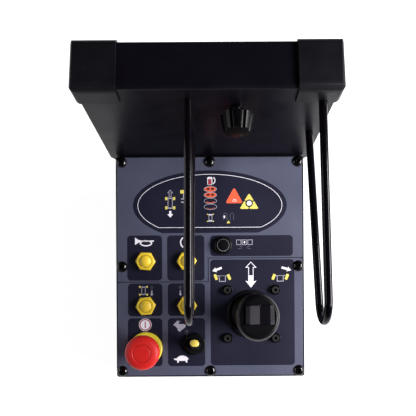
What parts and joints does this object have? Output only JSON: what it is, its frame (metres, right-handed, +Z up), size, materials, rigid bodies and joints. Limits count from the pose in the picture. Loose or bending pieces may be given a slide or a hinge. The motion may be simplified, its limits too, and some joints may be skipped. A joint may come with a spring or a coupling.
{
  "type": "lift platform control console",
  "caption": "Black sheet-steel operator console with a rail saddle, guard hoops, a drive lever with rocker, yellow push buttons, toggle and emergency stop.",
  "frame": {"origin": "on the flat underside, below the middle of the control panel", "axes": "+Z up, +X to the operator's right, +Y away from the operator; the panel faces up and falls 9 degrees toward -Y"},
  "size_m": [0.2528, 0.3174, 0.2877],
  "materials": {
    "box_paint": "satin black powder coat",
    "panel_paint": "satin black powder coat",
    "hood_paint": "satin black powder coat",
    "overlay_print": "brushed slate film with navy fields and printed pictograms",
    "rod_paint": "gloss black paint on round bar",
    "cap_rubber": "moulded matt rubber",
    "black_screw": "black oxide with oil sheen",
    "bright_steel": "zinc plated",
    "black_plastic": "semi-gloss moulded",
    "rocker_plastic": "semi-gloss moulded",
    "black_rubber": "soft moulded rubber",
    "boss_paint": "gloss black paint",
    "stop_red": "gloss red moulded",
    "stop_yellow": "gloss yellow moulded",
    "button_yellow": "soft-gloss amber yellow",
    "tip_yellow": "gloss yellow moulded"
  },
  "bodies": {
    "console": {"base_tray": "box_paint", "bottom_cover": "box_paint", "control_plate": "panel_paint", "saddle_hood": "hood_paint", "upper_overlay": "overlay_print", "lower_overlay": "overlay_print", "middle_guard_hoop": "rod_paint", "right_guard_hoop": "rod_paint", "left_corner_cap": "cap_rubber", "right_corner_cap": "cap_rubber", "panel_screws": "black_screw", "lever_washers": "black_screw", "cover_screws": "bright_steel", "hood_bolts": "bright_steel", "pivot_pin": "bright_steel", "lever_screws": "bright_steel", "stop_nut": "bright_steel", "switch_nuts": "bright_steel", "gland_body": "black_plastic", "gland_nut": "black_plastic", "lever_base": "black_plastic", "boot_ring": "black_plastic", "stop_barrel": "black_plastic", "stop_block": "black_plastic", "black_button_bezel": "black_plastic", "switch_bodies": "black_plastic", "toggle_body": "black_plastic", "gland_seal": "black_rubber", "lever_boot": "black_rubber", "toggle_collar": "black_rubber", "clamp_boss": "boss_paint", "stop_collar": "stop_yellow", "horn_button_bezel": "button_yellow", "power_button_bezel": "button_yellow", "chassis_button_bezel": "button_yellow", "height_button_bezel": "button_yellow"},
    "lever": {"lever_rod": "bright_steel", "handle_body": "black_plastic", "handle_cap": "black_plastic", "rocker_pin": "bright_steel"},
    "rocker": {"steering_rocker": "rocker_plastic"},
    "stop_slider": {"stop_plunger": "bright_steel"},
    "stop_mushroom": {"stop_head": "stop_red"},
    "horn_button": {"horn_button_cap": "button_yellow"},
    "power_button": {"power_button_cap": "button_yellow"},
    "chassis_button": {"chassis_button_cap": "button_yellow"},
    "height_button": {"height_button_cap": "button_yellow"},
    "black_button": {"black_button_cap": "black_plastic"},
    "toggle": {"toggle_boot": "black_rubber", "toggle_lever": "bright_steel", "toggle_tip": "tip_yellow"},
    "clamp_foot": {"clamp_pad": "black_rubber"},
    "clamp_spindle": {"clamp_knob": "black_plastic", "clamp_screw": "bright_steel"}
  },
  "joints": [
    {"name": "lever_tilt", "type": "hinge", "parent": "console", "child": "lever", "pos_m": [0.0501, -0.05496, 0.07307], "axis": [1, 0, 0], "range_deg": [-20, 20], "stiffness_Nm_per_rad": 1.6, "deforming": ["lever_boot"]},
    {"name": "steering_rock", "type": "hinge", "parent": "lever", "child": "rocker", "pos_m": [0.0519, -0.06753, 0.18688], "axis": [0, 0.994, 0.1097], "range_deg": [-9, 9], "stiffness_Nm_per_rad": 0.05},
    {"name": "stop_press", "type": "slide", "parent": "console", "child": "stop_slider", "axis": [0, 0.1564, -0.9877], "range_m": [0, 0.004]},
    {"name": "stop_twist", "type": "hinge", "parent": "stop_slider", "child": "stop_mushroom", "pos_m": [-0.079, -0.10119, 0.09967], "axis": [0, -0.1564, 0.9877], "range_deg": [-30, 0], "stiffness_Nm_per_rad": 0.12},
    {"name": "horn_press", "type": "slide", "parent": "console", "child": "horn_button", "axis": [0, 0.1564, -0.9877], "range_m": [0, 0.0025], "stiffness_N_per_m": 900},
    {"name": "power_press", "type": "slide", "parent": "console", "child": "power_button", "axis": [0, 0.1564, -0.9877], "range_m": [0, 0.0025], "stiffness_N_per_m": 900},
    {"name": "chassis_press", "type": "slide", "parent": "console", "child": "chassis_button", "axis": [0, 0.1564, -0.9877], "range_m": [0, 0.0025], "stiffness_N_per_m": 900},
    {"name": "height_press", "type": "slide", "parent": "console", "child": "height_button", "axis": [0, 0.1564, -0.9877], "range_m": [0, 0.0025], "stiffness_N_per_m": 900},
    {"name": "black_press", "type": "slide", "parent": "console", "child": "black_button", "axis": [0, 0.1564, -0.9877], "range_m": [0, 0.0025], "stiffness_N_per_m": 900},
    {"name": "toggle_flip", "type": "hinge", "parent": "console", "child": "toggle", "pos_m": [-0.0186, -0.09453, 0.08958], "axis": [1, 0, 0], "range_deg": [0, 24]},
    {"name": "clamp_feed", "type": "slide", "parent": "console", "child": "clamp_foot", "axis": [0, 1, 0], "range_m": [-0.0005, 0.0035]},
    {"name": "clamp_turn", "type": "hinge", "parent": "clamp_foot", "child": "clamp_spindle", "pos_m": [0.0284, 0.134, 0.24912], "axis": [0, 1, 0], "range_deg": [-145, 1010]}
  ],
  "couplings": [
    {"joint": "clamp_turn", "follows": "clamp_feed", "rad_per_m": 5026.5}
  ]
}
